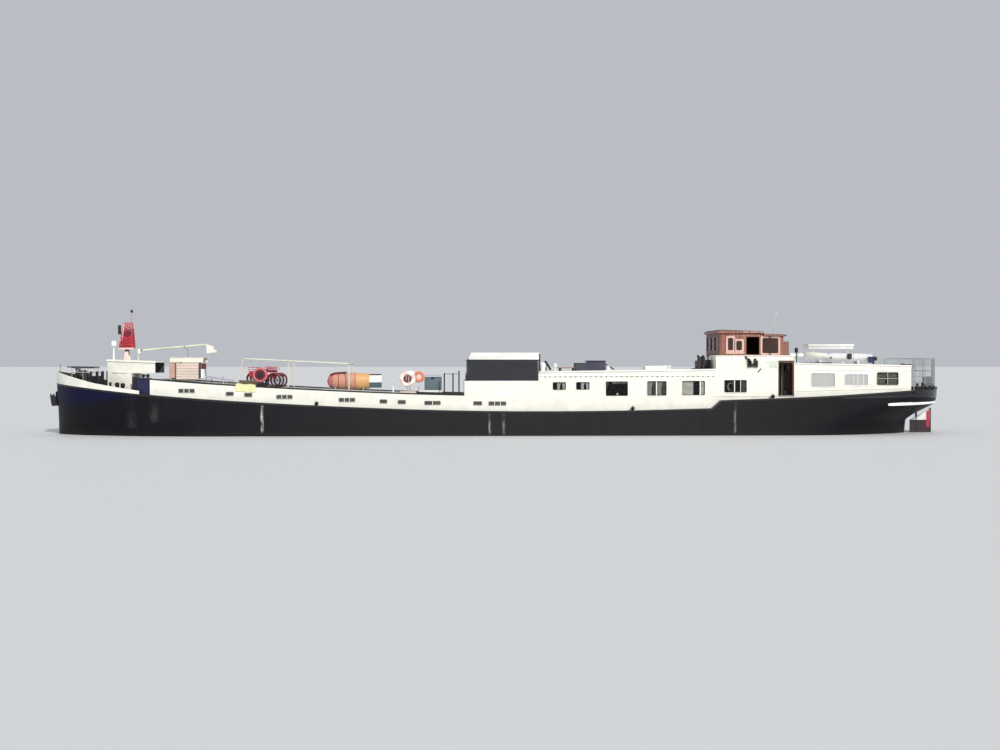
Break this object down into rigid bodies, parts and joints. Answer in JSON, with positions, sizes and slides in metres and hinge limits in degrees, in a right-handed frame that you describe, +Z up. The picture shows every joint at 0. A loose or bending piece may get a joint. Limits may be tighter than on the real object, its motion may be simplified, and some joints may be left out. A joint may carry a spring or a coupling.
{
  "type": "hotel ship, converted motor barge",
  "caption": "Converted inland motor barge used as a hotel ship: black hull, cream deckhouses with windows, wooden wheelhouse, deck gear; 1:2 scale model.",
  "frame": {"origin": "centre of the flat keel plate amidships", "axes": "+X along the ship towards the stern, +Y towards starboard, +Z up"},
  "size_m": [23.172, 3.15, 3.815],
  "materials": {
    "hull_paint": "weathered semi-gloss",
    "cream_paint": "semi-gloss",
    "white_paint": "semi-gloss",
    "black_paint": "semi-gloss",
    "navy_paint": "gloss",
    "red_paint": "gloss",
    "iron": "rough",
    "steel": "satin",
    "canvas": "woven",
    "orange_plastic": "satin",
    "grey_plastic": "matte",
    "varnished_wood": "varnished",
    "white_gelcoat": "gloss",
    "bronze": "polished"
  },
  "bodies": {
    "ship": {"hull": "hull_paint", "bow_bulwark": "cream_paint", "anchor": "iron", "foredeck_gear": "black_paint", "bow_house": "cream_paint", "bow_locker": "navy_paint", "boom_crutch": "steel", "trunk": "cream_paint", "deck_seat_frame": "canvas", "pergola": "white_paint", "bicycles": "red_paint", "deck_boat": "orange_plastic", "deck_locker": "grey_plastic", "lifebuoy_rail": "orange_plastic", "deckhouse_port_wall": "cream_paint", "deckhouse_starboard_wall": "cream_paint", "deckhouse_front_wall": "cream_paint", "deckhouse_roof": "white_paint", "lounge_band": "navy_paint", "lounge_roof": "white_paint", "roof_chest": "navy_paint", "skylight_frame": "white_paint", "base_port_wall": "cream_paint", "base_starboard_wall": "cream_paint", "base_front_wall": "cream_paint", "base_aft_wall": "cream_paint", "base_roof": "cream_paint", "roof_locker": "varnished_wood", "wheelhouse_floor": "varnished_wood", "wheelhouse": "varnished_wood", "wheelhouse_roof": "varnished_wood", "aft_cabin_port_wall": "cream_paint", "aft_cabin_starboard_wall": "cream_paint", "aft_cabin_end_wall": "cream_paint", "aft_cabin_roof": "cream_paint", "dinghy": "white_gelcoat", "solar_rack": "white_paint", "aft_rail_port": "steel", "aft_rail_starboard": "steel"},
    "rudder": {"rudder": "white_paint"},
    "propeller": {"propeller": "bronze"},
    "helm_wheel": {"helm_wheel": "varnished_wood"},
    "mast": {"mast": "red_paint"},
    "boom": {"boom": "white_paint"},
    "deck_seat_bench": {"deck_seat_bench": "canvas"},
    "cowl_vent": {"cowl_vent": "white_paint"},
    "skylight_lid": {"skylight_lid": "white_paint"},
    "wheelhouse_door": {"wheelhouse_door": "varnished_wood"},
    "entrance_door": {"entrance_door": "varnished_wood"},
    "bow_house_door": {"bow_house_door": "varnished_wood"},
    "aft_cabin_door": {"aft_cabin_door": "varnished_wood"},
    "outboard": {"outboard": "navy_paint"}
  },
  "joints": [
    {"name": "rudder_turn", "type": "hinge", "parent": "ship", "child": "rudder", "pos_m": [11.02, 0, 0.6], "axis": [0, 0, 1], "range_deg": [-35, 35]},
    {"name": "propeller_turn", "type": "hinge", "parent": "ship", "child": "propeller", "pos_m": [10.6, 0, 0.3], "axis": [1, 0, 0], "continuous": true},
    {"name": "helm_turn", "type": "hinge", "parent": "ship", "child": "helm_wheel", "pos_m": [5.92, 0, 2.74], "axis": [1, 0, 0], "range_deg": [-350, 350]},
    {"name": "mast_lower", "type": "hinge", "parent": "ship", "child": "mast", "pos_m": [-9.72, 0, 2.7], "axis": [0, -1, 0], "range_deg": [0, 80]},
    {"name": "boom_lift", "type": "hinge", "parent": "ship", "child": "boom", "pos_m": [-9.4, 0, 2.765], "axis": [0, -1, 0], "range_deg": [0, 50]},
    {"name": "seat_swing", "type": "hinge", "parent": "ship", "child": "deck_seat_bench", "pos_m": [-8.075, -0.29, 2.472], "axis": [1, 0, 0], "range_deg": [-10, 10]},
    {"name": "cowl_turn", "type": "hinge", "parent": "ship", "child": "cowl_vent", "pos_m": [1.08, -0.45, 2.3], "axis": [0, 0, 1], "continuous": true},
    {"name": "skylight_open", "type": "hinge", "parent": "ship", "child": "skylight_lid", "pos_m": [3.965, -0.29, 2.345], "axis": [-1, 0, 0], "range_deg": [0, 60]},
    {"name": "wheelhouse_door_slide", "type": "slide", "parent": "ship", "child": "wheelhouse_door", "axis": [1, 0, 0], "range_m": [-0.345, 0]},
    {"name": "entrance_door_swing", "type": "hinge", "parent": "ship", "child": "entrance_door", "pos_m": [7.435, -1.307, 2.04], "axis": [0, 0, 1], "range_deg": [0, 90]},
    {"name": "bow_door_swing", "type": "hinge", "parent": "ship", "child": "bow_house_door", "pos_m": [-9.474, 0.245, 2.07], "axis": [0, 0, 1], "range_deg": [0, 95]},
    {"name": "cabin_door_swing", "type": "hinge", "parent": "ship", "child": "aft_cabin_door", "pos_m": [10.45, 0.145, 2.03], "axis": [0, 0, 1], "range_deg": [0, 100]},
    {"name": "outboard_tilt", "type": "hinge", "parent": "ship", "child": "outboard", "pos_m": [9.725, -0.25, 2.52], "axis": [0, -1, 0], "range_deg": [0, 35]}
  ]
}
